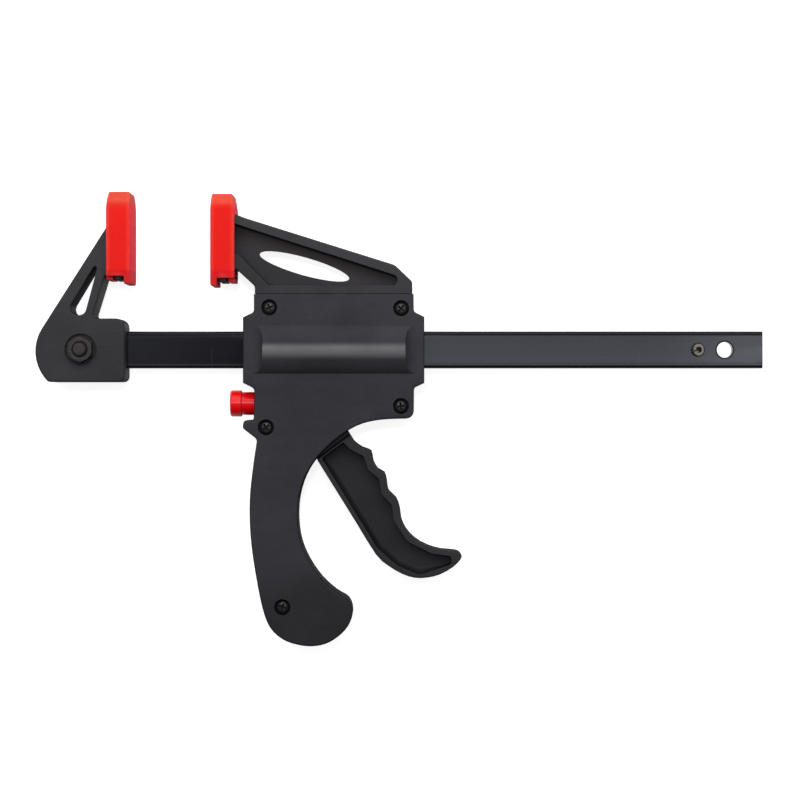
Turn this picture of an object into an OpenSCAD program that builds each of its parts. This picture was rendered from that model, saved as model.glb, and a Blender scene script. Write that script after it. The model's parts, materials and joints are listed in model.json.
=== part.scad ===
// Quick release bar clamp, lying on its side on a bench.
// +X runs along the bar away from the fixed jaw, +Y towards the jaw tips, +Z up. Millimetres.
// The drawing below uses the bar's own axis as Y 0 and its middle plane as Z 0; place() moves all of
// it so that the origin is under the middle of the part.

/* [Bar] */
// length of the steel bar
bar_length = 309.1; // [250:0.1:420]
// height of the bar's section, across the jaws' reach
bar_height = 16; // [14:0.1:16.4]
// thickness of the bar's section
bar_thickness = 5; // [4:0.1:6]
// radius of the bar's long edges
bar_edge = 1.4; // [0.5:0.1:1.8]
// diameter of the hole near each end
end_hole_d = 6.8; // [6.4:0.1:8]
// distance from each end to its hole
end_hole_inset = 16.3; // [14:0.1:18]
// diameter of the slotted stop pin
stop_pin_d = 5; // [4:0.1:6]
// distance from the free end to the stop pin
stop_pin_inset = 27.9; // [26:0.1:40]

/* [Jaws] */
// opening between the two pads as drawn
jaw_gap = 34.1; // [1:0.1:149]
// thickness of the fixed jaw
jaw_width = 19.8; // [16:0.1:20.4]
// thickness of the moving jaw
arm_width = 20.2; // [17:0.1:20.6]
// thickness of the web between the moving jaw's rims
arm_web = 5; // [3:0.1:9]
// width of a pad
pad_width = 24.4; // [23.6:0.1:28]
// thickness of a pad, from its clamping face to its back
pad_depth = 10.4; // [9.8:0.1:13]

/* [Housing] */
// thickness of the two shells together
housing_width = 21; // [20.8:0.1:24]
// radius of the round ridge over the bar
ridge_radius = 14.7; // [14:0.1:16]
// wall thickness of the shells
wall = 2.5; // [2.2:0.1:2.8]
// size of the rounded edges
edge = 1.1; // [0.6:0.1:1.2]
// diameter of the sunk recess around a screw head
screw_recess_d = 7; // [6.2:0.1:7.4]
// diameter of a screw head
screw_head_d = 5.6; // [4.6:0.1:5.8]

/* [Controls] */
// thickness of the trigger
trigger_width = 15; // [11:0.1:15.3]
// thickness of the trigger's sunk middle
trigger_web = 6; // [3:0.1:9]
// how much thinner the trigger's head is on each side
head_step = 0.7; // [0.4:0.1:1.2]
// diameter of the pin on which the trigger turns
pivot_d = 5; // [4:0.1:6]
// diameter of the release button's cap
button_d = 11.4; // [10.4:0.1:12]
// diameter of the release button's neck
button_neck_d = 9.9; // [9:0.1:10.1]

/* [Hidden] */
$fn = 40;
eps = 0.05;                                       // clearance between pieces that touch
fit = 0.1;                                        // clearance around a piece that slides
bar_x0 = -152.9;                                  // the bar's end inside the fixed jaw
bar_x1 = bar_x0 + bar_length;
bolt_x = bar_x0 + end_hole_inset;
free_hole_x = bar_x1 - end_hole_inset;
stop_x = bar_x1 - stop_pin_inset;
drawn_gap = 34.1;                                 // opening at which the outlines below are drawn
slide = drawn_gap - jaw_gap;                      // how far the bar stands from that
clamp_x = -81.1;                                  // clamping face of the moving pad
fixed_x = clamp_x - drawn_gap;                    // clamping face of the fixed pad
pad_bottom = 28.2;
pad_height = 39.4;
pad_drop = 0.9;                                   // the moving pad sits this much lower
jaw_r = 18.3;                                     // round back of the fixed jaw
jaw_back = [-137.8, -0.7];
nut_recess = 1.6;                                 // depth of the round recess under the nut and the bolt head
half = housing_width / 2;
pocket = half - wall;                             // depth of the hollow in each shell
barrel_r = ridge_radius - wall;
split_y = 23.7;                                   // where the moving jaw meets the shells
seam = 0.25;                                      // open joint between them
pivot = [-37, -25];                               // trigger pin
brake_pivot = [-53.7, 11];
brake_bead = 1.35;                                // radius of the rolled edge on which the brake plate tilts
brake_tilt = 5;                                   // lean of the brake plate at rest
plate_t = 2.4;
button_y = -23.1;
screws = [[-55.9, 18, 25], [0.5, 17.6, 52], [0.4, -24.2, 10], [-57.3, -33.3, 38], [-50.3, -110.2, 70]];
left_x = jaw_back[0] - jaw_r + slide;
right_x = bar_x1 + slide;
grip_bottom = -127;
shift = [
    -(left_x + right_x) / 2,
    -(pad_bottom + pad_height + grip_bottom) / 2,
    ridge_radius
];

// ---------------------------------------------------------------- outlines
function unit(v) = v / norm(v);
function flat(lists) = [for (l = lists) for (p = l) p];
function sharp(p) = [for (q = p) [q[0], q[1], 0]];
function arc(c, r, a0, a1, n) = [
    for (i = [0 : n]) let (a = a0 + (a1 - a0) * i / n) c + r * [cos(a), sin(a)]
];

// the arc of radius b[2] in the corner a-b-c
function corner(a, b, c, n) =
    let (
        p = [b[0], b[1]],
        u = unit([a[0], a[1]] - p),
        v = unit([c[0], c[1]] - p),
        h = acos(max(-1, min(1, u * v))) / 2,
        m = p + unit(u + v) * b[2] / sin(h),
        s = p + u * b[2] / tan(h) - m,
        e = p + v * b[2] / tan(h) - m,
        a0 = atan2(s[1], s[0]),
        d = atan2(e[1], e[0]) - a0,
        turn = d > 180 ? d - 360 : d < -180 ? d + 360 : d
    )
    [for (i = [0 : n]) m + b[2] * [cos(a0 + turn * i / n), sin(a0 + turn * i / n)]];

// closed outline with each corner [x, y, r] rounded to its radius r
function rounded(p, n = 4) = flat([
    for (i = [0 : len(p) - 1])
        let (b = p[i])
        b[2] == 0 ? [[b[0], b[1]]] : corner(p[(i + len(p) - 1) % len(p)], b, p[(i + 1) % len(p)], n)
]);

// smooth curve through the points p, n steps between each two
function curve(p, n = 3) = flat([
    for (i = [0 : len(p) - 2])
        let (
            a = p[max(i - 1, 0)], b = p[i], c = p[i + 1], d = p[min(i + 2, len(p) - 1)]
        )
        [for (k = [0 : n - 1])
            let (t = k / n)
            0.5 * (2 * b + (c - a) * t + (2 * a - 5 * b + 4 * c - d) * t * t
                + (3 * b - a - 3 * c + d) * t * t * t)]
]);

// the outline moved inwards by d; outlines run anticlockwise
function inset(p, d) = [
    for (i = [0 : len(p) - 1])
        let (
            a = p[(i + len(p) - 1) % len(p)], b = p[i], c = p[(i + 1) % len(p)],
            u = unit(b - a), v = unit(c - b),
            m = [-u[1], u[0]], n = [-v[1], v[0]]
        )
        b + d * (m + n) / (1 + m * n)
];

// cutting ring that rounds the upper edge, at height z, of a plate with this outline
module edge_ring(p, z, r) {
    f = 0.3 * r;                                  // how far the ring reaches past the plate
    section = [
        [-0.3 * f, z - r - 0.7 * f], [0.3 * r, z - 0.3 * r], [r + 0.7 * f, z + 0.3 * f], [-0.3 * f, z + 0.3 * f]
    ];
    n = len(p);
    polyhedron(
        flat([for (g = section) [for (q = inset(p, g[0])) [q[0], q[1], g[1]]]]),
        [for (g = [0 : 3]) for (i = [0 : n - 1])
            let (j = (i + 1) % n, h = (g + 1) % 4)
            [g * n + i, g * n + j, h * n + j, h * n + i]]
    );
}

// plate with this outline from z0 to z1, its lower edge rounded by r0 and its upper edge by r1
module edged(p, z0, z1, r0, r1) {
    difference() {
        slab(z0, z1) polygon(p);
        if (r1 > 0) edge_ring(p, z1, r1);
        if (r0 > 0) mirror([0, 0, 1]) edge_ring(p, -z0, r0);
    }
}

// coil spring along +X from x 0, with flat-lying end turns
module coil(length, mean_r, wire_r, turns, steps = 20, sides = 6) {
    n = turns * steps;
    travel = length - 2 * wire_r;
    function at(i) =
        let (t = i / n, s = min(1, max(0, (t * turns - 0.75) / (turns - 1.5))))
        wire_r + travel * s;
    points = flat([
        for (i = [0 : n])
            let (a = 360 * i / steps)
            [for (k = [0 : sides - 1])
                let (b = 360 * k / sides, r = mean_r + wire_r * cos(b))
                [at(i) + wire_r * sin(b) * 0.999, r * cos(a), r * sin(a)]]
    ]);
    polyhedron(
        points,
        concat(
            [[for (k = [0 : sides - 1]) k]],
            [for (i = [0 : n - 1]) for (k = [0 : sides - 1])
                let (a = i * sides + k, b = i * sides + (k + 1) % sides)
                [a, a + sides, b + sides, b]],
            [[for (k = [sides - 1 : -1 : 0]) n * sides + k]]
        )
    );
}

// fixed jaw, with the flange that carries its pad
jaw_outline = rounded(flat([
    sharp(arc(jaw_back, jaw_r, 147.4, 219, 8)),
    [
        [-150.5, -13.9, 2.2], [-117.8, -13.9, 2.4], [-117.8, 13.3, 3.6], [-131.9, 13.3, 1.6],
        [-126.3, 31.5, 0], [-122.1, 33, 0], [-122.1, 29.9, 0], [-119.1, 29.9, 0],
        [-119.1, 63.5, 0], [-122.1, 63.5, 0], [-122.1, 58.0, 0]
    ]
]));
jaw_window = rounded([[-127.9, 40.8, 0.9], [-143.6, 14.7, 3], [-134.9, 14.7, 3]]);

// moving jaw, drawn a little way down into the housing
arm_outline = rounded([
    [5.3, 20, 0], [5.3, 29, 2], [-2.2, 36.2, 5], [-66.6, 56.4, 0], [-70.3, 57.9, 0], [-74.2, 58.6, 0],
    [-74.2, 62.6, 0], [-77.2, 62.6, 0], [-77.2, 29, 0], [-74.2, 29, 0], [-74.2, 34.3, 0],
    [-70, 34.3, 0], [-62.1, 27.1, 2], [-62.1, 20, 0]
]);
arm_recess = rounded([
    [-1, 27.4, 2.2], [-1, 31.5, 2.2], [-66, 52.4, 0], [-72.4, 54.6, 0], [-72.4, 40.9, 0],
    [-69.4, 40.9, 0], [-56.2, 27.4, 2]
]);
arm_window = [
    for (i = [0 : 27])
        let (a = 360 * i / 28, x = 20.2 * cos(a), y = 3.9 * sin(a), t = -15.9)
        [-41.3, 36.1] + [x * cos(t) - y * sin(t), x * sin(t) + y * cos(t)]
];

// pistol grip: down its back, round its foot and up its front
grip = curve([
    [-61.3, -39.4], [-62.8, -49.5], [-64.1, -61], [-64.35, -72], [-63.6, -83.5], [-61.7, -96.5],
    [-58.9, -110.5], [-55.6, -119], [-50.2, -124], [-44, -126.3], [-37.9, grip_bottom], [-32, -126],
    [-26.8, -123.1], [-22.4, -118.6], [-20.3, -113], [-21.9, -107.3], [-27.3, -103.8],
    [-33.6, -98.1], [-38.9, -90.5], [-42.4, -82.3], [-43.8, -73], [-43.2, -63], [-40.4, -54],
    [-35.8, -46.6], [-30.1, -40.7], [-23.2, -35.3], [-16.4, -31.8], [-8.5, -30.1], [0, -29.6]
]);
shell_outline = rounded(flat([
    [
        [5.8, 27, 0], [-62.5, 27, 0], [-62.5, 16, 1.6], [-67.2, 13.8, 0], [-67.2, -14.3, 0],
        [-62.3, -16.7, 2], [-62.6, -30.1, 0.8], [-66.9, -30.3, 1.6], [-67.4, -33.6, 1.6], [-61.5, -38.2, 1.8]
    ],
    sharp(grip),
    [[5.9, -29.5, 3.2], [6, -16.4, 1.6], [10.4, -14.3, 0], [10.4, 14, 0], [5.9, 16.2, 1.6]]
]), 3);

// trigger: its head round the pin and its nose inside the housing, the lever below with finger grooves in front
lever = rounded(flat([
    [
        [-29.4, -23.6, 5], [-32.6, -18.1, 3], [-37.2, -18.1, 1], [-38.35, -12.4, 1.9],
        [-42.7, -12.4, 1.9], [-44.3, -25.4, 5], [-42.6, -36.4, 5]
    ],
    sharp(curve([
        [-35.7, -47], [-27.2, -60.7], [-18.7, -74.4], [-10.4, -87.8], [-5.2, -92.6], [0.9, -96.2], [6.3, -97.9],
        [11.8, -97.8], [17.3, -96.4], [22.6, -93.4], [25.8, -90.3], [26.5, -88.4], [25, -86.8],
        [21.8, -86.2], [17.2, -85.8], [11.8, -84.2], [6.5, -81.2], [2.6, -77], [0.6, -72.6],
        [0, -68.1], [-1.6, -63.6], [-4.9, -60.4], [-5.6, -56.4], [-6.6, -52.7], [-9.5, -51],
        [-11.5, -47.6], [-12.4, -43.3], [-16.1, -41.8], [-20, -38.9], [-22.3, -34.6]
    ], 2))
]), 3);
lever_recess = rounded([
    [-33.6, -46.5, 0.8], [-9.9, -84.8, 5], [-1.5, -92.4, 8], [8.2, -96.6, 6], [22.5, -92, 2], [21.8, -88.5, 1.5],
    [13.5, -87.4, 5], [3.2, -82.2, 6], [-2.6, -73.5, 4], [-3.4, -66.6, 3], [-8, -61.8, 2.4],
    [-8.9, -55.3, 2.4], [-13.6, -51.6, 2.4], [-15.6, -45.6, 2.4], [-21.1, -42.9, 2.4],
    [-24.3, -39.6, 0.8]
], 3);

// part of the trigger that turns inside the housing
lever_head = [[-20.2, -36], [-20.2, -5], [-60, -5], [-60, -60], [-37.7, -49]];
lever_groove = [[-20.2, -36], [-20.8, -35.2], [-38.3, -48.2], [-37.7, -49]];

// ---------------------------------------------------------------- helpers
module place() { translate(shift) children(); }
module on_bar() { place() translate([slide, 0, 0]) children(); }
module slab(z0, z1) { translate([0, 0, z0]) linear_extrude(z1 - z0) children(); }
module along_x(x0, x1, r) { translate([x0, 0, 0]) rotate([0, 90, 0]) cylinder(r = r, h = x1 - x0); }
module block(x0, x1, y0, y1, z0, z1) { translate([x0, y0, z0]) cube([x1 - x0, y1 - y0, z1 - z0]); }
module round_bar(r, x, y, z0, z1) { translate([x, y, z0]) cylinder(r = r, h = z1 - z0); }
module hexagon(af, x, y, z0, z1) {
    translate([x, y, z0]) rotate([0, 0, 30]) cylinder(d = af / cos(30), h = z1 - z0, $fn = 6);
}

// clear space for the bar to pass
module bar_space(x0, x1, gap) {
    block(x0, x1, -bar_height / 2 - gap, bar_height / 2 + gap, -bar_thickness / 2 - gap, bar_thickness / 2 + gap);
}

// the pad's block: clamping face at x 0, its back towards -x
module pad_block() {
    w = pad_width / 2;
    top = pad_bottom + pad_height;
    function side(i, y0, y1) = [
        [-pad_depth + i, y0], [-i, y0], [-i, top - 6.5], [-i - 0.5 * (y1 - top + 6.5) / 6.5, y1],
        [-pad_depth + i + 0.9 * (y1 - top + 6.5) / 6.5, y1], [-pad_depth + i, top - 6.5]
    ];
    hull() {
        slab(-w + 3.4, w - 3.4) polygon(side(0.4, pad_bottom, top));
        slab(-w + 3.7, w - 3.7) polygon(side(0, pad_bottom + 0.4, top - 0.4));
        slab(-w + 1.1, w - 1.1) polygon(side(0, pad_bottom + 2.6, top - 3.4));
        slab(-w + 0.3, w - 0.3) polygon(side(0.3, pad_bottom + 5.2, top - 4.1));
        slab(-w, w) polygon(side(1.1, pad_bottom + 6.1, top - 4.7));
        block(-pad_depth + 0.4, -0.4, pad_bottom, pad_bottom + 1, -w + 2, w - 2);
        block(-pad_depth, 0, pad_bottom + 0.4, pad_bottom + 1, -w + 1.7, w - 1.7);
    }
}

module pad_body() {
    difference() {
        pad_block();
        // the walls end above the clamping slab, and lowest behind the flange
        block(-pad_depth - 1, -2.8, pad_bottom - 1, pad_bottom + 1.7, -pad_width, pad_width);
        block(-pad_depth + 2.7, -2.8, pad_bottom, pad_bottom + 3.3, -pad_width, pad_width);
        for (s = [-1, 1])
            translate([0, 0, s * (pad_width + 18.4) / 2])
                block(-pad_depth - 1, -2.8, pad_bottom, pad_bottom + 3.3, -pad_width / 2, pad_width / 2);
    }
}

// ridge over the bar, its ends swept down in a hollow curve
module ridge() {
    x0 = -63.2;
    x1 = 6.9;
    rise = ridge_radius - half;
    sweep = [for (a = [8 : 18 : 80]) rise * 1.12 * [sin(a), 1 - cos(a)]];
    intersection() {
        along_x(x0, x1, ridge_radius);
        rotate([90, 0, 0]) translate([0, 0, -20]) linear_extrude(40) polygon(concat(
            [[x1 - 0.2, half - 1], [x1 - 0.2, half]],
            [for (p = sweep) [x1 - p[0], half + p[1]]],
            [[x1 - rise * 1.12, ridge_radius + 1], [x0 + rise * 1.12, ridge_radius + 1]],
            [for (i = [len(sweep) - 1 : -1 : 0]) [x0 + sweep[i][0], half + sweep[i][1]]],
            [[x0 + 0.2, half], [x0 + 0.2, half - 1]]
        ));
    }
}

// one shell, its inner face on z 0 and its outer face up
module half_shell(recessed) {
    reach = pocket + 0.3;
    difference() {
        union() {
            difference() {
                union() {
                    edged(shell_outline, 0, half, 0, edge);
                    ridge();
                }
                slab(-1, pocket) offset(delta = -wall) polygon(shell_outline);
                along_x(-50, 1, barrel_r);
            }
            for (s = screws) round_bar(4.6, s[0], s[1], 0, reach);
            round_bar(5.4, pivot[0], pivot[1], trigger_width / 2 - head_step + 0.15, reach);
            // brake plate's fulcrum and the stop for its spring
            block(-61, brake_pivot[0] - 1.55, 8.8, 12.3, 0, reach);
            block(-47, -45.4, -20, -10.6, 0, reach);
        }
        block(-90, 30, split_y, 60, -1, half + 5);
        bar_space(-90, 30, fit);
        along_y_bore();
        slab(-1, trigger_width / 2 + 0.4) polygon(mouth);
        round_bar(pivot_d / 2 + eps, pivot[0], pivot[1], -1, half - 1);
        for (s = screws) {
            round_bar(recessed ? 1.6 : 1.55, s[0], s[1], -1, recessed ? half + 5 : half - 2);
            if (recessed) round_bar(screw_recess_d / 2, s[0], s[1], half - 3.9, half + 5);
        }
    }
}
mouth = [
    [-46, -64], [-41, -63], [-37.5, -53], [-32, -46], [-24, -39.5], [-13.5, -33.5],
    [-14.8, -26.5], [-26, -29], [-40, -44]
];
module along_y_bore() {
    translate([0, button_y, 0]) along_x(-75, -58.5, button_neck_d / 2 + fit);
}

// ---------------------------------------------------------------- pieces on the bar
module bar() {
    color("#23242a") on_bar() difference() {
        translate([bar_x0, 0, 0]) rotate([90, 0, 90]) linear_extrude(bar_length) polygon(rounded([
            for (s = [[-1, -1], [1, -1], [1, 1], [-1, 1]])
                [s[0] * bar_height / 2, s[1] * bar_thickness / 2, bar_edge]
        ], 3));
        for (x = [bolt_x, free_hole_x]) round_bar(end_hole_d / 2, x, 0, -5, 5);
        round_bar(stop_pin_d / 2 + 0.02, stop_x, 0, -5, 5);
    }
}

module stop_pin() {
    color("#5f5f58") on_bar() translate([stop_x, 0, 0]) difference() {
        union() {
            cylinder(r = stop_pin_d / 2, h = 11, center = true);
            for (s = [0, 1]) mirror([0, 0, s])
                translate([0, 0, 5.5]) cylinder(r1 = stop_pin_d / 2, r2 = stop_pin_d / 2 - 0.4, h = 0.5);
        }
        // rolled tube with its slot, closed at the lower end
        translate([0, 0, -4.8]) cylinder(r = stop_pin_d / 2 - 1.1, h = 14);
        rotate([0, 0, 195]) translate([0, -0.4, -4.8]) cube([4, 0.8, 14]);
    }
}

module fixed_jaw() {
    color("#3a3a3e") on_bar() difference() {
        edged(jaw_outline, -jaw_width / 2, jaw_width / 2, 0.9, 0.9);
        slab(-15, 15) polygon(jaw_window);
        bar_space(bar_x0 - 0.02, -110, 0.02);
        round_bar(3.2, bolt_x, 0, -15, 15);
        for (s = [0, 1]) mirror([0, 0, s]) round_bar(6.8, bolt_x, 0, jaw_width / 2 - nut_recess, 15);
    }
}

module fixed_jaw_pad() {
    color("#e8281e") on_bar() difference() {
        translate([fixed_x, 0, 0]) pad_body();
        slab(-jaw_width / 2 - eps, jaw_width / 2 + eps) offset(delta = eps) polygon(jaw_outline);
    }
}

module jaw_bolt() {
    z = jaw_width / 2 - nut_recess;
    color("#3c3734") on_bar() {
        round_bar(3, bolt_x, 0, -z - 1, z + 5.1);
        translate([bolt_x, 0, z + 5.1]) cylinder(r1 = 3, r2 = 2.3, h = 0.8);
        intersection() {
            hexagon(10, bolt_x, 0, -z - 4.2, -z);
            translate([bolt_x, 0, -z - 4.2]) cylinder(r1 = 5.1, r2 = 9.3, h = 4.2);
        }
    }
}

module jaw_nut() {
    z = jaw_width / 2 - nut_recess;
    color("#3c3734") on_bar() difference() {
        intersection() {
            hexagon(10, bolt_x, 0, z, z + 4.8);
            translate([bolt_x, 0, z]) cylinder(r1 = 9.9, r2 = 5.1, h = 4.8);
        }
        round_bar(3 + eps, bolt_x, 0, z - 1, z + 6);
        translate([bolt_x, 0, z + 4.3]) cylinder(r1 = 3, r2 = 3.9, h = 0.9);
    }
}

// ---------------------------------------------------------------- housing and moving jaw
module rear_shell() { color("#3a3a3e") place() mirror([0, 0, 1]) half_shell(false); }
module front_shell() { color("#3c3c40") place() half_shell(true); }

module moving_jaw() {
    color("#38383b") place() difference() {
        union() {
            difference() {
                edged(arm_outline, -arm_width / 2, arm_width / 2, 0.75, 0.75);
                block(-80, 20, 10, split_y + seam, -20, 20);
            }
            // tongue between the shells
            block(-59.9, 3.2, 12.6, split_y + 1, -pocket + 0.1, pocket - 0.1);
        }
        for (s = [0, 1]) mirror([0, 0, s]) slab(arm_web / 2, 20) polygon(arm_recess);
        slab(-20, 20) polygon(arm_window);
        for (s = [screws[0], screws[1]]) round_bar(4.75, s[0], s[1], -20, 20);
    }
}

module moving_jaw_pad() {
    color("#e8281e") place() difference() {
        translate([clamp_x, -pad_drop, 0]) mirror([1, 0, 0]) pad_body();
        slab(-arm_width / 2 - eps, arm_width / 2 + eps) offset(delta = eps) polygon(arm_outline);
    }
}

module shell_screws() {
    z = half - 3.9;
    color("#3c3a3a") place() for (s = screws) translate([s[0], s[1], 0]) difference() {
        union() {
            translate([0, 0, -half + 3]) cylinder(r = 1.5, h = half - 3 + z + 0.5);
            translate([0, 0, z]) cylinder(d = screw_head_d, h = 1.5);
            translate([0, 0, z + 1.5]) cylinder(d1 = screw_head_d, d2 = screw_head_d - 0.7, h = 0.4);
            translate([0, 0, z + 1.9]) cylinder(d1 = screw_head_d - 0.7, d2 = screw_head_d - 2.1, h = 0.3);
        }
        for (a = [s[2], s[2] + 90])
            rotate([0, 0, a]) translate([-1.7, -0.45, z + 0.6]) cube([3.4, 0.9, 3]);
    }
}

// ---------------------------------------------------------------- trigger and mechanism
module trigger() {
    color("#38393a") place() difference() {
        edged(lever, -trigger_width / 2, trigger_width / 2, 0.7, 0.7);
        round_bar(pivot_d / 2 + 0.07, pivot[0], pivot[1], -20, 20);
        for (s = [0, 1]) mirror([0, 0, s]) {
            slab(trigger_web / 2, 20) polygon(lever_recess);
            slab(trigger_width / 2 - head_step, 20) polygon(lever_head);
            slab(trigger_width / 2 - head_step - 1.8, 20) polygon(lever_groove);
        }
    }
}

module trigger_pin() {
    color("#8a8c90") place() round_bar(pivot_d / 2, pivot[0], pivot[1], -half + 1.1, half - 1.1);
}

module drive_plate(x) {
    color("#6f7075") place() difference() {
        block(x, x + plate_t, -16.5, bar_height / 2 + 2.3, -6.2, 6.2);
        bar_space(x - 1, x + plate_t + 1, 0.2);
    }
}
module drive_plate_1() { drive_plate(-37.42); }
module drive_plate_2() { drive_plate(-37.42 + plate_t + 0.3); }

module drive_spring() {
    color("#9a9ca0") place() translate([-32.25, 0, 0]) coil(31.65, 9.7, 0.8, 8);
}

module spring_seat() {
    color("#7c7e82") place() difference() {
        along_x(-0.5, 0.9, barrel_r - 0.2);
        bar_space(-2, 2, 0.2);
    }
}

module brake_plate() {
    color("#6f7075") place() translate([brake_pivot[0], brake_pivot[1], 0]) rotate([0, 0, -brake_tilt])
        translate([-brake_pivot[0], -brake_pivot[1], 0]) difference() {
            union() {
                block(brake_pivot[0] - 1.25, brake_pivot[0] + 1.25, -27, brake_pivot[1], -6.2, 6.2);
                round_bar(brake_bead, brake_pivot[0], brake_pivot[1], -6.2, 6.2);
            }
            bar_space(-60, -45, 0.25);
        }
}

module brake_spring() {
    color("#9a9ca0") place() translate([-54.35, -15, 0]) coil(7.15, 2.4, 0.5, 5, 14);
}

module release_button() {
    r = button_d / 2;
    color("#e01018") place() translate([-73.1, button_y, 0]) rotate([0, 90, 0]) {
        cylinder(r1 = r - 0.5, r2 = r, h = 0.5);
        translate([0, 0, 0.5]) cylinder(r = r, h = 4.1);
        translate([0, 0, 4.6]) cylinder(r1 = r, r2 = r - 0.4, h = 0.4);
        cylinder(r = button_neck_d / 2, h = 14.2);
        translate([0, 0, 13.45]) cylinder(r = 5.5, h = 1);
    }
}

bar();
stop_pin();
fixed_jaw();
fixed_jaw_pad();
jaw_bolt();
jaw_nut();
rear_shell();
front_shell();
moving_jaw();
moving_jaw_pad();
trigger();
trigger_pin();
drive_plate_1();
drive_plate_2();
drive_spring();
spring_seat();
brake_plate();
brake_spring();
release_button();
shell_screws();
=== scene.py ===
import json
import math

import bpy
import bmesh
from mathutils import Matrix, Vector


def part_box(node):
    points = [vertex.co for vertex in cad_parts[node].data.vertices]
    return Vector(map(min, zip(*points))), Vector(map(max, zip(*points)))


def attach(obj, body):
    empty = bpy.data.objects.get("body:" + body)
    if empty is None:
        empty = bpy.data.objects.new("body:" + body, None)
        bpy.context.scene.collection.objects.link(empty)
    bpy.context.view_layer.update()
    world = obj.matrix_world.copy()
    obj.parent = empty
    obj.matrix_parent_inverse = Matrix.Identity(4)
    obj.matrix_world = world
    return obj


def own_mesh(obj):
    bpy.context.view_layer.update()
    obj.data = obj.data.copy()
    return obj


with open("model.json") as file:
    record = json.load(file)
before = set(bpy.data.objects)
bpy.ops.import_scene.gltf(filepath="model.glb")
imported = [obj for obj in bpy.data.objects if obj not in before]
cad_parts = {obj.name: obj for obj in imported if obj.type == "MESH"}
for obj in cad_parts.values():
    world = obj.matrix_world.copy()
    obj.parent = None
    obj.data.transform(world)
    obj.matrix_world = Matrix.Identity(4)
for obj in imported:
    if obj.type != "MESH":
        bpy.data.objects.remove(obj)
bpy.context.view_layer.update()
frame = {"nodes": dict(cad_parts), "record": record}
nodes = frame["nodes"]
scene = bpy.context.scene
scene.view_settings.view_transform = "Standard"

# places on the clamp, in metres
BAR_Y = 0.0297            # the bar's axis
MID_Z = 0.0147            # the clamp's middle plane
RIDGE_R = 0.0147          # radius of the ridge over the bar
RIDGE_Y = BAR_Y - 0.0006  # middle of the ridge's rubbed crest and of its painted highlight
NUT_X = -0.13665          # the jaw bolt and its nut
NUT_SEAT_R = 0.0078       # radius around the nut where no painted shade is laid
HOLE_X = 0.13985          # the bar's free hole
PIN_X = sum(corner[0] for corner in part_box("stop_pin")) / 2
SCREW_TOP = 0.0235        # height of the screw heads
SCREW_SHADE_DEPTH = 0.0004       # how far below its top a screw's recess is painted dark, as painted shade
RIB_SLANT = 0.297         # fall of the moving jaw's rib along the bar
PAD_FOOT = (0.0632, 0.064)      # where the pads' painted shade at the foot ends, along Y
PAD_TIP = (0.0895, 0.0945)      # where their painted highlight at the tip begins
GRIP_FOOT = (0.03, 0.095)       # where the grip is painted darker, as painted shade, from its top to its foot, along -Y
RIM_OF_LEVER = (0.0062, 0.0065)     # heights above the middle plane, on the trigger's lever
WALL_OF_POCKET = ((0.003, 0.0034), (0.0058, 0.0064))
FLOOR_OF_RECESS = (0.0035, 0.006)   # the same on the moving jaw's arm

# the sunk face of the lever: corners of its outer wall (x, y, radius), and the fillet along it
LEVER_POCKET = [
    (-0.03365, -0.0168, 0.0), (-0.00995, -0.0551, 0.005), (-0.00155, -0.0627, 0.008), (0.00815, -0.0669, 0.006),
    (0.02245, -0.0623, 0.0),
]
FILLET_WIDTH = 0.0029
FILLET_TOP = 0.0066
FILLET_BOTTOM = 0.00298

SHARP = math.radians(34)  # edges that turn more than this are rounded and not shaded over
WELD = 1e-6               # distance within which a solid's loose corners are joined
ARC_STEPS = 6
PATH_STEP = 0.0015
FILLET_STEPS = 8

# width of each piece's rounded edges, and how many segments they have
EDGES = {
    "bar": (0.0, 1), "stop_pin": (0.00012, 2), "fixed_jaw": (0.00015, 2), "fixed_jaw_pad": (0.0006, 3),
    "jaw_bolt": (0.0001, 1), "jaw_nut": (0.00018, 2), "rear_shell": (0.00012, 2), "front_shell": (0.00012, 2),
    "moving_jaw": (0.00015, 2), "moving_jaw_pad": (0.0006, 3), "trigger": (0.00012, 2), "trigger_pin": (0.0001, 1),
    "drive_plate_1": (0.00025, 2), "drive_plate_2": (0.00025, 2), "spring_seat": (0.00015, 1),
    "brake_plate": (0.00025, 2), "release_button": (0.0003, 3), "shell_screws": (0.00008, 1),
}

# colours of wear and marks, and of painted shade, painted light and painted highlights
CORNER_SHADE = (0.0025, 0.0025, 0.003)
PAINTED_SHADE_TONE = (0.0035, 0.0035, 0.004)
RECESS_LIGHT = (0.074, 0.064, 0.066)
PALER_NYLON = (0.036, 0.036, 0.038)
CREST_HIGHLIGHT = (0.085, 0.083, 0.09)
RUBBED_OXIDE = (0.13, 0.125, 0.12)
BITTEN_OXIDE = (0.16, 0.155, 0.15)
EDGE_HIGHLIGHT_OXIDE = (0.12, 0.12, 0.125)
CORNER_SHADE_OXIDE = (0.004, 0.004, 0.005)
THICK_OXIDE = (0.0025, 0.0024, 0.0024)
WORN_SCREW = (0.12, 0.108, 0.1)
SIDE_SHADE = (0.003, 0.0028, 0.0028)
SCREW_RECESS_SHADE = (0.0015, 0.0014, 0.0014)
SIDE_LIGHT_RED = (1.0, 0.05, 0.085)
FOOT_SHADE_RED = (0.55, 0.009, 0.02)
TIP_HIGHLIGHT_RED = (0.4, 0.11, 0.062)


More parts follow.
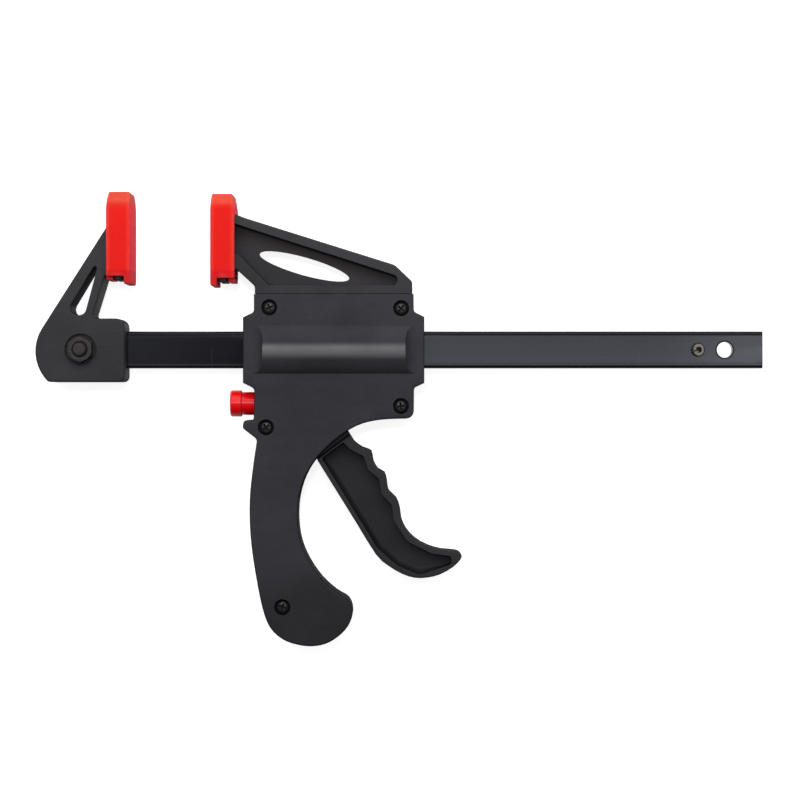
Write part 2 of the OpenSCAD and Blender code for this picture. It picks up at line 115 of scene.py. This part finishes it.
# ---------------------------------------------------------------- node trees
class Nodes:
    """A node tree, with short calls for the sums that its masks are made of."""

    def __init__(self, tree):
        self.tree = tree

    def new(self, kind):
        return self.tree.nodes.new(kind)

    def join(self, source, socket):
        self.tree.links.new(source, socket)

    def feed(self, socket, value):
        """Set a socket to a number or a colour, or join an output to it."""
        if isinstance(value, tuple):
            socket.default_value = value + (1.0,)
        elif isinstance(value, (int, float)):
            socket.default_value = value
        else:
            self.join(value, socket)

    def math(self, kind, *values):
        node = self.new("ShaderNodeMath")
        node.operation = kind
        for socket, value in zip(node.inputs, values):
            self.feed(socket, value)
        return node.outputs[0]

    def plus(self, a, b):
        return self.math("ADD", a, b)

    def minus(self, a, b):
        return self.math("SUBTRACT", a, b)

    def times(self, a, b):
        return self.math("MULTIPLY", a, b)

    def most(self, a, b):
        return self.math("MAXIMUM", a, b)

    def without(self, mask, share=1.0):
        """What a mask leaves over: 1 where it is 0, and 1 less the share where it is 1."""
        return self.minus(1.0, mask if share == 1.0 else self.times(mask, share))

    def together(self, *patterns):
        """The sum of patterns, each times its share."""
        total = 0.0
        for pattern, share in patterns:
            total = self.plus(total, self.times(pattern, share))
        return total

    def ramp(self, value, low, high):
        """0 below low, 1 above high."""
        node = self.new("ShaderNodeMapRange")
        node.interpolation_type = "SMOOTHSTEP"
        node.inputs["From Min"].default_value = low
        node.inputs["From Max"].default_value = high
        self.join(value, node.inputs["Value"])
        return node.outputs["Result"]

    def band(self, value, rise, fall):
        """1 between two ramps, 0 outside them."""
        return self.times(self.ramp(value, *rise), self.without(self.ramp(value, *fall)))

    def parts(self, vector):
        """The X, Y and Z of a vector."""
        node = self.new("ShaderNodeSeparateXYZ")
        self.join(vector, node.inputs[0])
        return node.outputs


# ---------------------------------------------------------------- camera, floor and light
def camera():
    data = bpy.data.cameras.new("camera")
    data.sensor_width = 36.0
    data.lens = 104.2
    data.clip_end = 20.0
    eye = bpy.data.objects.new("camera", data)
    eye.location = (-0.00005, 0.0081, 1.0147)
    scene.collection.objects.link(eye)
    scene.camera = eye


def softbox(name, place, aim, size, power):
    data = bpy.data.lights.new(name, "AREA")
    data.shape = "RECTANGLE"
    data.size, data.size_y = size
    data.energy = power
    lamp = bpy.data.objects.new(name, data)
    lamp.location = place
    lamp.rotation_euler = (Vector(aim) - Vector(place)).to_track_quat("-Z", "Y").to_euler()
    scene.collection.objects.link(lamp)


def room():
    """A white room: bright behind the jaws, dim towards the grip, with a lit window over the bar's free end."""
    world = bpy.data.worlds.new("room")
    scene.world = world
    world.use_nodes = True
    n = Nodes(world.node_tree)
    back = n.tree.nodes["Background"]
    back.inputs["Color"].default_value = (1.0, 1.0, 1.0, 1.0)
    place = n.new("ShaderNodeTexCoord").outputs["Generated"]

    def towards(direction, low, high):
        """Mask of the part of the room around a direction, from the cosine of the angle to it."""
        dot = n.new("ShaderNodeVectorMath")
        dot.operation = "DOT_PRODUCT"
        dot.inputs[1].default_value = Vector(direction).normalized()
        n.join(place, dot.inputs[0])
        return n.ramp(dot.outputs["Value"], low, high)

    bright = n.times(towards((0.0, 0.8, 0.6), 0.25, 0.95), 0.45)
    dim = n.without(towards((0.0, -1.0, 0.35), 0.2, 0.8), 0.8)
    level = n.times(n.plus(0.33, bright), dim)

    x, y, z = n.parts(place)
    over_bar = n.without(n.ramp(n.math("ABSOLUTE", n.minus(y, 0.03)), 0.06, 0.11))
    lit = n.times(n.band(x, (-0.022, 0.012), (0.24, 0.34)), over_bar)
    lit = n.times(lit, n.math("GREATER_THAN", z, 0.0))
    # brighter still at the bar's end, and dimmer along its lower edge
    lit = n.times(lit, n.plus(1.1, n.ramp(x, 0.11, 0.15)))
    lit = n.times(lit, n.minus(1.08, n.times(n.ramp(y, 0.012, 0.03), 0.27)))

    # a dark patch overhead, which the bar beside the fixed jaw reflects
    lens = n.times(n.band(x, (-0.15, -0.055), (-0.035, -0.015)), over_bar)
    level = n.plus(n.times(level, n.without(lens, 0.85)), lit)
    level = n.most(level, n.new("ShaderNodeLightPath").outputs["Is Camera Ray"])
    n.join(level, back.inputs["Strength"])


def floor():
    """A matt white table; the rays by which its white shows are the camera's, glossy and transmission ones."""
    bm = bmesh.new()
    bmesh.ops.create_grid(bm, x_segments=1, y_segments=1, size=3.0)
    mesh = bpy.data.meshes.new("floor")
    bm.to_mesh(mesh)
    bm.free()
    ground = bpy.data.objects.new("floor", mesh)
    scene.collection.objects.link(ground)
    sheet = bpy.data.materials.new("white_table")
    sheet.use_nodes = True
    n = Nodes(sheet.node_tree)
    n.tree.nodes.clear()
    out = n.new("ShaderNodeOutputMaterial")
    matt = n.new("ShaderNodeBsdfDiffuse")
    matt.inputs["Color"].default_value = (0.5, 0.5, 0.5, 1.0)
    glow = n.new("ShaderNodeEmission")
    rays = n.new("ShaderNodeLightPath").outputs
    seen = n.most(rays["Is Camera Ray"], n.most(rays["Is Glossy Ray"], rays["Is Transmission Ray"]))
    n.join(n.times(seen, 0.86), glow.inputs["Strength"])
    both = n.new("ShaderNodeAddShader")
    n.join(matt.outputs[0], both.inputs[0])
    n.join(glow.outputs[0], both.inputs[1])
    n.join(both.outputs[0], out.inputs["Surface"])
    mesh.materials.append(sheet)


# ---------------------------------------------------------------- finishes
class Finish(Nodes):
    """A material on the Principled shader, with short calls for the nodes that its detail is made of."""

    def __init__(self, name, sockets):
        self.material = bpy.data.materials.new(name)
        self.material.use_nodes = True
        super().__init__(self.material.node_tree)
        self.shader = self.tree.nodes["Principled BSDF"]
        for key, value in sockets.items():
            self.shader.inputs[key].default_value = value
        self.place = self.new("ShaderNodeTexCoord").outputs["Object"]
        self.relief = None

    def turned(self, scale=(1, 1, 1), angle=(0, 0, 0), shift=(0, 0, 0)):
        node = self.new("ShaderNodeMapping")
        node.inputs["Scale"].default_value = scale
        node.inputs["Rotation"].default_value = [math.radians(a) for a in angle]
        node.inputs["Location"].default_value = shift
        self.join(self.place, node.inputs["Vector"])
        return node.outputs[0]

    def noise(self, scale, detail, rough=0.5, at=None, warp=0.0):
        node = self.new("ShaderNodeTexNoise")
        node.inputs["Scale"].default_value = scale
        node.inputs["Detail"].default_value = detail
        node.inputs["Roughness"].default_value = rough
        node.inputs["Distortion"].default_value = warp
        self.join(at or self.place, node.inputs["Vector"])
        return node.outputs["Fac"]

    def cells(self, scale):
        node = self.new("ShaderNodeTexVoronoi")
        node.inputs["Scale"].default_value = scale
        self.join(self.place, node.inputs["Vector"])
        return node.outputs["Distance"]

    def scratches(self, angle, length, fineness, low, high):
        """Fine straight marks in one direction, in patches."""
        lines = self.noise(1.0, 2.0, 0.6, self.turned((1 / length, fineness, fineness), angle))
        patches = self.noise(38.0, 2.0, 0.5, self.turned(shift=(length, angle[2], 0.3)))
        return self.times(self.ramp(lines, low, high), self.ramp(patches, 0.45, 0.7))

    def axis(self, name):
        return self.parts(self.place)[name]

    def away(self, axis, plane):
        """Distance to either side of a plane across an axis."""
        return self.math("ABSOLUTE", self.minus(self.axis(axis), plane))

    def disc(self, x, radius):
        """1 within a radius of an upright axis that crosses the bar's."""
        x, y = self.minus(self.axis("X"), x), self.minus(self.axis("Y"), BAR_Y)
        away = self.math("SQRT", self.plus(self.times(x, x), self.times(y, y)))
        return self.without(self.ramp(away, radius, radius + 0.0006))

    def facing(self, axis, low, high):
        """0 where a face points across an axis of the frame, 1 where it points along it."""
        normal = self.parts(self.new("ShaderNodeNewGeometry").outputs["Normal"])
        return self.ramp(self.math("ABSOLUTE", normal[axis]), low, high)

    def nearness(self, reach, beneath, low, high):
        """How near another face of the piece lies, beneath the surface or above it."""
        node = self.new("ShaderNodeAmbientOcclusion")
        node.samples = 4
        node.inside = beneath
        node.only_local = True
        node.inputs["Distance"].default_value = reach
        return self.ramp(self.without(node.outputs["AO"]), low, high)

    def edges(self, reach):
        """1 on the outer edges of the shape, 0 on its faces."""
        return self.nearness(reach, True, 0.12, 0.5)

    def corners(self, reach):
        """1 in the inner corners of the shape, 0 on its open faces."""
        return self.nearness(reach, False, 0.2, 0.5)

    def mix(self, mask, a, b):
        """a where the mask is 0, b where it is 1."""
        node = self.new("ShaderNodeMix")
        node.data_type = "RGBA"
        for socket, value in ((node.inputs["Factor"], mask), (node.inputs[6], a), (node.inputs[7], b)):
            self.feed(socket, value)
        return node.outputs[2]

    def over(self, base, mask, strength, colour):
        """A colour laid over the base where the mask is 1."""
        return self.mix(self.times(mask, strength), base, colour)

    def bump(self, height, distance, strength):
        node = self.new("ShaderNodeBump")
        node.inputs["Distance"].default_value = distance
        node.inputs["Strength"].default_value = strength
        self.join(height, node.inputs["Height"])
        if self.relief is not None:
            self.join(self.relief, node.inputs["Normal"])
        self.relief = node.outputs[0]
        self.join(self.relief, self.shader.inputs["Normal"])

    def coat(self, colour, rough, shine=None):
        """Give the surface its colour and roughness and, where it varies, its shine."""
        self.join(colour, self.shader.inputs["Base Color"])
        self.join(rough, self.shader.inputs["Roughness"])
        if shine is not None:
            self.join(shine, self.shader.inputs["Specular IOR Level"])


def toned(colour, gain, lift=0.0):
    return tuple(min(1.0, gain * c + lift) for c in colour)


def moulded_nylon(name, deep, pale, rough, grain=1.0, crevice=0.0013, stain_and_shade=None, painted_lift=None, unshaded=None,
                  paler_mask=None, ridge=False):
    """Glass-filled nylon with a spark-eroded grain, worn paler on its edges.

    Painted shade darkens the upright walls and the corners within the distance crevice. The other arguments give
    masks, in their order: where it is painted darker as painted shade, where it is painted lighter as painted light,
    where no painted shade is laid, and where it is painted paler.
    """
    f = Finish(name, {"IOR": 1.5})
    # places where the painted shade is left out, which also count as flat faces for the shine
    left_unshaded = unshaded(f) if unshaded else 0.0
    flat = f.most(f.facing("Z", 0.2, 0.5), left_unshaded)
    shine = f.plus(0.02, f.times(flat, 0.09))
    cloud = f.ramp(f.noise(26.0, 3.0, 0.55), 0.3, 0.72)
    fine = f.noise(620.0, 4.0, 0.65)
    flow = f.noise(1.0, 3.0, 0.6, f.turned((30, 95, 60), (0, 0, 24)), 0.8)
    base = f.mix(f.together((cloud, 0.4), (fine, 0.3), (flow, 0.4)), deep, pale)
    wear = f.times(f.edges(0.0006), f.ramp(f.noise(210.0, 3.0, 0.6), 0.35, 0.8))
    base = f.over(base, wear, 0.3, toned(pale, 2.2, 0.01))
    marks = f.most(f.scratches((0, 0, 35), 0.03, 1900.0, 0.67, 0.73),
                   f.scratches((0, 0, -58), 0.02, 2300.0, 0.68, 0.74))
    base = f.over(base, marks, 0.16, toned(pale, 2.0, 0.008))
    dull = f.plus(rough - 0.05, f.times(f.noise(75.0, 4.0, 0.6), 0.1))
    dull = f.minus(dull, f.times(wear, 0.08))
    # painted light, lifting the floors of the arm's recesses
    if painted_lift:
        base = f.over(base, painted_lift(f), 0.32, RECESS_LIGHT)
    # painted paler: painted light on the arm's rib, and paler rims on the lever
    if paler_mask:
        base = f.over(base, paler_mask(f), 0.3, PALER_NYLON)
    # painted shade: the inner corners and the upright walls are darkened, except at the places left unshaded
    painted_shade = f.most(f.times(f.corners(crevice), 0.7), f.times(f.without(flat), 0.55))
    base = f.mix(f.times(painted_shade, f.without(left_unshaded, 0.8)), base, CORNER_SHADE)
    # painted shade, towards the grip's foot and in the lever's pocket fillets
    if stain_and_shade:
        base = f.over(base, stain_and_shade(f), 0.35, PAINTED_SHADE_TONE)
    if ridge:
        # the crest of the ridge is rubbed smooth where it slides on the bench, and painted paler as a painted
        # highlight along it
        crest = f.times(f.ramp(f.away("Z", MID_Z), RIDGE_R - 0.0015, RIDGE_R - 0.0009),
                        f.without(f.ramp(f.away("Y", RIDGE_Y), 0.001, 0.0042)))
        crest = f.times(crest, f.plus(0.75, f.times(f.noise(60.0, 3.0), 0.45)))
        base = f.over(base, crest, 0.5, CREST_HIGHLIGHT)
        dull = f.minus(dull, f.times(crest, 0.22))
        shine = f.plus(shine, f.times(crest, 0.55))
    f.coat(base, dull, shine)
    f.bump(f.cells(1500.0), 0.00003 * grain, 0.5)
    f.bump(f.noise(900.0, 5.0, 0.7), 0.00006 * grain, 0.45)
    f.bump(marks, -0.00001, 0.6)
    f.bump(f.noise(42.0, 2.0), 0.0002, 0.12)
    return f.material


def oxide_steel(name, deep, pale, rough):
    """Black-oxide strip with the lines of its drawing along X."""
    f = Finish(name, {"IOR": 1.55, "Specular Tint": (0.86, 0.89, 1.0, 1.0)})
    lines = f.noise(1.0, 5.0, 0.7, f.turned((7, 1500, 1500)))
    bands = f.noise(1.0, 3.0, 0.5, f.turned((2.2, 260, 260)))
    blotch = f.ramp(f.noise(24.0, 4.0, 0.6), 0.35, 0.7)
    base = f.mix(f.together((lines, 0.4), (bands, 0.35), (blotch, 0.3)), deep, pale)
    wear = f.times(f.edges(0.0006), f.ramp(f.noise(160.0, 4.0, 0.7), 0.42, 0.66))
    base = f.over(base, wear, 0.55, RUBBED_OXIDE)
    # short marks across the strip where the plates have bitten it
    bites = f.times(f.ramp(f.noise(1.0, 2.0, 0.5, f.turned((900, 14, 14))), 0.66, 0.74),
                    f.ramp(f.noise(60.0, 2.0), 0.5, 0.62))
    base = f.over(base, bites, 0.16, BITTEN_OXIDE)
    # the rolled corners are dull and painted darker as painted shade, with a shinier painted highlight line beside the
    # lower one
    across = f.minus(f.axis("Y"), BAR_Y)
    corner = f.most(f.ramp(across, 0.0057, 0.0066), f.ramp(f.times(across, -1.0), 0.0068, 0.0072))
    line = f.band(across, (-0.0069, -0.0066), (-0.0064, -0.0061))
    base = f.over(base, line, 0.1, EDGE_HIGHLIGHT_OXIDE)
    base = f.over(base, corner, 0.6, CORNER_SHADE_OXIDE)
    shine = f.minus(f.plus(0.45, f.times(line, 0.15)), f.times(corner, 0.36))
    # thick oxide on the walls and rims of the holes
    dark = f.most(f.disc(HOLE_X, 0.0037), f.disc(PIN_X, 0.0027))
    base = f.over(base, dark, 0.85, THICK_OXIDE)
    shine = f.times(shine, f.without(dark, 0.9))
    f.coat(base, f.plus(rough - 0.03, f.times(f.plus(lines, blotch), 0.02)), shine)
    f.bump(lines, 0.00001, 0.35)
    f.bump(f.noise(420.0, 4.0, 0.6), 0.00001, 0.4)
    return f.material


def bare_steel(name, deep, pale, rough, along):
    """Stamped or drawn steel, brushed in one direction."""
    f = Finish(name, {"Metallic": 1.0})
    lines = f.noise(1.0, 4.0, 0.65, f.turned(along))
    stain_and_shade = f.ramp(f.noise(140.0, 4.0, 0.6), 0.35, 0.75)
    base = f.mix(lines, deep, pale)
    base = f.over(base, stain_and_shade, 0.3, toned(deep, 0.55))
    base = f.over(base, f.edges(0.0004), 0.4, toned(pale, 1.5))
    f.coat(base, f.plus(rough - 0.08, f.times(lines, 0.16)))
    f.bump(lines, 0.00001, 0.4)
    return f.material


def black_fastener(name, deep, pale, rough, shine, sunk=None):
    """Black-oxide screw steel, paler where the driver and the wrench rub it.

    A sunk head is painted dark below the height sunk, as painted shade in its recess. A standing one is painted dark
    on its upright sides, as painted shade.
    """
    f = Finish(name, {"Metallic": 0.2, "Specular IOR Level": shine})
    cloud = f.noise(420.0, 4.0, 0.65)
    base = f.mix(cloud, deep, pale)
    wear = f.times(f.edges(0.00035), f.ramp(f.noise(700.0, 3.0, 0.6), 0.35, 0.7))
    base = f.over(base, wear, 0.55, WORN_SCREW)
    dull = f.plus(rough - 0.08, f.times(cloud, 0.16))
    if sunk:
        # painted shade in the screw's recess
        painted_shade = f.without(f.ramp(f.axis("Z"), sunk - SCREW_SHADE_DEPTH, sunk))
        base = f.mix(painted_shade, base, SCREW_RECESS_SHADE)
        dull = f.plus(dull, f.times(painted_shade, 0.4))
    else:
        # painted shade on the upright sides
        side = f.without(f.facing("Z", 0.3, 0.6))
        base = f.over(base, side, 0.85, SIDE_SHADE)
        dull = f.plus(dull, f.times(side, 0.3))
    f.coat(base, dull)
    f.bump(f.noise(1300.0, 3.0, 0.6), 0.00002, 0.5)
    return f.material


def red_plastic(name, deep, pale, wear_and_highlight, rough, shine, glow, edge=0.0008, fade=0.4, pad=False):
    """Coloured moulded plastic: a faint flow pattern and a fine grain, paler by fade within edge of its edges, from
    wear, and on the pads' wide edges also as a painted highlight.
    """
    f = Finish(name, {
        "IOR": 1.49, "Specular IOR Level": shine, "Subsurface Weight": glow,
        "Subsurface Radius": (1.0, 0.25, 0.18), "Subsurface Scale": 0.004,
    })
    flow = f.noise(1.0, 3.0, 0.55, f.turned((60, 30, 45), (0, 12, 20)), 0.9)
    fine = f.noise(800.0, 3.0, 0.6)
    base = f.mix(f.together((flow, 0.7), (fine, 0.3)), deep, pale)
    # paler edges: wear, and on the pads' wide edges also a painted highlight
    wear = f.times(f.nearness(edge, True, 0.06, 0.36), f.plus(0.35, f.times(f.noise(260.0, 3.0), 0.9)))
    base = f.over(base, wear, fade, wear_and_highlight)
    marks = f.most(f.scratches((0, 0, 76), 0.012, 2200.0, 0.65, 0.72),
                   f.scratches((0, 20, 12), 0.01, 2500.0, 0.66, 0.73))
    base = f.over(base, marks, 0.12, wear_and_highlight)
    if pad:
        # the pads are painted paler and pinker on the upright faces as painted light, darker at the foot as painted
        # shade, and paler orange at the tip as a painted highlight
        base = f.over(base, f.facing("X", 0.5, 0.9), 0.75, SIDE_LIGHT_RED)
        base = f.over(base, f.without(f.ramp(f.axis("Y"), *PAD_FOOT)), 0.5, FOOT_SHADE_RED)
        base = f.over(base, f.ramp(f.axis("Y"), *PAD_TIP), 0.5, TIP_HIGHLIGHT_RED)
    f.coat(base, f.plus(rough - 0.06, f.times(f.noise(95.0, 4.0, 0.6), 0.14)))
    f.bump(f.noise(1000.0, 4.0, 0.65), 0.00004, 0.4)
    f.bump(f.noise(55.0, 2.0), 0.0002, 0.12)
    f.bump(marks, -0.00001, 0.6)
    return f.material


# painted shade: the grip darker towards its foot
def foot_of_grip(f):
    return f.ramp(f.times(f.axis("Y"), -1.0), *GRIP_FOOT)


def towards_rib(f, low, high):
    """0 at the foot of the moving jaw's recesses, 1 under its slanted rib."""
    return f.ramp(f.plus(f.axis("Y"), f.times(f.axis("X"), RIB_SLANT)), low, high)


def lit_recess_floor(f):
    """The flat floors of the arm's recesses under the rib, painted lighter as painted light against the shade that the
    rib casts.
    """
    deep = f.without(f.ramp(f.away("Z", MID_Z), *FLOOR_OF_RECESS))
    return f.times(f.times(deep, f.facing("Z", 0.8, 0.95)), towards_rib(f, 0.047, 0.059))


def rib_of_arm(f):
    """The arm's outer rib, painted paler than the lever's rims, 1.6 times as strongly, as painted light falling on it
    from above.
    """
    return f.times(towards_rib(f, 0.06, 0.062), 1.6)


def unshaded_places(f):
    """The nut's seat, the corner under the arm's rib, and the end walls, where no painted shade is laid."""
    near = f.most(f.disc(NUT_X, NUT_SEAT_R), towards_rib(f, 0.055, 0.059))
    return f.most(near, f.facing("X", 0.9, 0.94))


def rims_of_lever(f):
    return f.ramp(f.away("Z", MID_Z), *RIM_OF_LEVER)


def walls_of_pocket(f):
    """The hollow fillets of the lever's sunk face, painted darker as painted shade, at twice the strength of the
    grip's.
    """
    return f.times(f.band(f.away("Z", MID_Z), *WALL_OF_POCKET), 2.0)


def finishes():
    """Make a material for each slot, and give it to the slot's pieces."""
    settings = {
        "housing_nylon": (moulded_nylon, dict(
            deep=(0.015, 0.0152, 0.018), pale=(0.0375, 0.038, 0.0445), rough=0.72, stain_and_shade=foot_of_grip, ridge=True)),
        "jaw_nylon": (moulded_nylon, dict(
            deep=(0.0155, 0.0148, 0.0168), pale=(0.037, 0.0355, 0.04), rough=0.7, crevice=0.0022,
            painted_lift=lit_recess_floor, unshaded=unshaded_places, paler_mask=rib_of_arm)),
        "trigger_nylon": (moulded_nylon, dict(
            deep=(0.0098, 0.01, 0.0119), pale=(0.024, 0.0245, 0.0285), rough=0.68, grain=0.8,
            stain_and_shade=walls_of_pocket, paler_mask=rims_of_lever)),
        "bar_steel": (oxide_steel, dict(deep=(0.003, 0.003, 0.0042), pale=(0.008, 0.008, 0.0108), rough=0.06)),
        "pin_steel": (bare_steel, dict(
            deep=(0.1, 0.093, 0.083), pale=(0.25, 0.232, 0.205), rough=0.42, along=(300, 300, 1600))),
        "fastener_black": (black_fastener, dict(
            deep=(0.0085, 0.0077, 0.0075), pale=(0.023, 0.0205, 0.02), rough=0.5, shine=0.3)),
        "plate_steel": (bare_steel, dict(
            deep=(0.22, 0.22, 0.225), pale=(0.42, 0.42, 0.43), rough=0.36, along=(1500, 60, 1500))),
        "spring_steel": (bare_steel, dict(
            deep=(0.3, 0.3, 0.31), pale=(0.5, 0.5, 0.51), rough=0.28, along=(900, 900, 900))),
        "pad_red": (red_plastic, dict(
            deep=(0.61, 0.012, 0.0095), pale=(0.72, 0.017, 0.014), wear_and_highlight=(0.78, 0.09, 0.07), rough=0.6, shine=0.015,
            glow=0.45, edge=0.002, fade=0.65, pad=True)),
        "button_red": (red_plastic, dict(
            deep=(0.64, 0.002, 0.004), pale=(0.76, 0.004, 0.007), wear_and_highlight=(0.8, 0.05, 0.045), rough=0.21, shine=0.18,
            glow=0.1)),
    }
    table = {slot: maker(slot, **values) for slot, (maker, values) in settings.items()}
    screw = black_fastener("screw_black", deep=(0.006, 0.0055, 0.0055), pale=(0.02, 0.018, 0.018), rough=0.38,
                           shine=0.4, sunk=SCREW_TOP - SCREW_SHADE_DEPTH)
    for part in frame["record"]["subparts"]:
        piece = nodes[part["node"]]
        piece.data.materials.clear()
        piece.data.materials.append(screw if part["node"] == "shell_screws" else table[part["material_slot"]])
    return table


# ---------------------------------------------------------------- shapes
def even_shading():
    """Node group that shades a piece smoothly except across its sharp edges."""
    group = bpy.data.node_groups.new("even_shading", "GeometryNodeTree")
    group.interface.new_socket("Geometry", in_out="INPUT", socket_type="NodeSocketGeometry")
    group.interface.new_socket("Geometry", in_out="OUTPUT", socket_type="NodeSocketGeometry")
    n = Nodes(group)
    start, end = n.new("NodeGroupInput"), n.new("NodeGroupOutput")
    angle = n.new("GeometryNodeInputMeshEdgeAngle")
    gentle = n.new("FunctionNodeCompare")
    gentle.operation = "LESS_THAN"
    gentle.inputs["B"].default_value = SHARP
    faces, edges = n.new("GeometryNodeSetShadeSmooth"), n.new("GeometryNodeSetShadeSmooth")
    edges.domain = "EDGE"
    n.join(start.outputs[0], faces.inputs["Geometry"])
    n.join(faces.outputs[0], edges.inputs["Geometry"])
    n.join(angle.outputs["Unsigned Angle"], gentle.inputs["A"])
    n.join(gentle.outputs[0], edges.inputs["Shade Smooth"])
    n.join(edges.outputs[0], end.inputs[0])
    return group


def soften(piece, width, segments, shading):
    """Round the small edges of a piece and even out its shading."""
    weld = piece.modifiers.new("weld", "WELD")
    weld.merge_threshold = WELD
    if width:
        bevel = piece.modifiers.new("bevel", "BEVEL")
        bevel.width = width
        bevel.segments = segments
        bevel.limit_method = "ANGLE"
        bevel.angle_limit = SHARP
        bevel.use_clamp_overlap = True
    piece.modifiers.new("shading", "NODES").node_group = shading
    even = piece.modifiers.new("even", "WEIGHTED_NORMAL")
    even.keep_sharp = True
    even.weight = 95


def round_corners(points):
    """Open path through corners (x, y, radius), each corner an arc, in even steps."""
    path = [Vector(points[0][:2])]
    for before, corner, after in zip(points, points[1:], points[2:]):
        tip = Vector(corner[:2])
        a, b = (Vector(before[:2]) - tip).normalized(), (Vector(after[:2]) - tip).normalized()
        half = a.angle(b) / 2
        centre = tip + (a + b).normalized() * corner[2] / math.sin(half)
        start = tip + a * corner[2] / math.tan(half) - centre
        sweep = (math.pi - 2 * half) * (1 if start.cross(tip - centre) > 0 else -1)
        for i in range(ARC_STEPS + 1):
            spin = Matrix.Rotation(sweep * i / ARC_STEPS, 2)
            path.append(centre + spin @ start)
    path.append(Vector(points[-1][:2]))
    even = [path[0]]
    for a, b in zip(path, path[1:]):
        pieces = max(1, round((b - a).length / PATH_STEP))
        even += [a.lerp(b, (i + 1) / pieces) for i in range(pieces)]
    return even


def strip(name, path, inset, top, bottom, side, body, slot):
    """Hollow fillet along a wall: it starts upright at the wall's top and runs out on the floor inset from it."""
    bm = bmesh.new()
    rows = []
    last = len(path) - 1
    for i, (x, y) in enumerate(path):
        a, b = path[max(i - 1, 0)], path[min(i + 1, last)]
        along = Vector((b[0] - a[0], b[1] - a[1])).normalized()
        into = Vector((-along.y, along.x))
        # it grows from a fifth of its width at both ends, over 5 steps at the first and 10 at the last
        reach = inset * min(1.0, 0.2 + i / 6, 0.2 + (last - i) / 12)
        row = []
        for k in range(FILLET_STEPS + 1):
            t = math.pi / 2 * k / FILLET_STEPS
            u = reach * (1 - math.cos(t))
            z = top - (top - bottom) * math.sin(t)
            row.append(bm.verts.new((x + into.x * u, y + into.y * u, MID_Z + side * z)))
        rows.append(row)
    for a, b in zip(rows, rows[1:]):
        for k in range(FILLET_STEPS):
            corners = [a[k], b[k], b[k + 1], a[k + 1]]
            bm.faces.new(corners if side > 0 else corners[::-1])
    for face in bm.faces:
        face.smooth = True
    mesh = bpy.data.meshes.new(name)
    bm.to_mesh(mesh)
    bm.free()
    mesh.materials.append(finish[slot])
    piece = bpy.data.objects.new(name, mesh)
    scene.collection.objects.link(piece)
    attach(piece, body)


camera()
room()
softbox("key", (-0.08, 0.33, 0.36), (-0.03, 0.03, 0.0), (0.7, 0.34), 2.25)
softbox("strip", (-0.055, 0.19, 1.15), (-0.04, 0.03, 0.0), (0.11, 0.05), 2.5)
floor()
finish = finishes()
shading = even_shading()
for name, piece in nodes.items():
    width, segments = EDGES.get(name, (0.0, 1))
    soften(piece, width, segments, shading)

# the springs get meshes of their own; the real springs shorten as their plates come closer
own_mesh(nodes["drive_spring"])
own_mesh(nodes["brake_spring"])

for side, name in ((1, "pocket_fillet_upper"), (-1, "pocket_fillet_lower")):
    strip(name, round_corners(LEVER_POCKET), FILLET_WIDTH, FILLET_TOP, FILLET_BOTTOM, side, "trigger", "trigger_nylon")
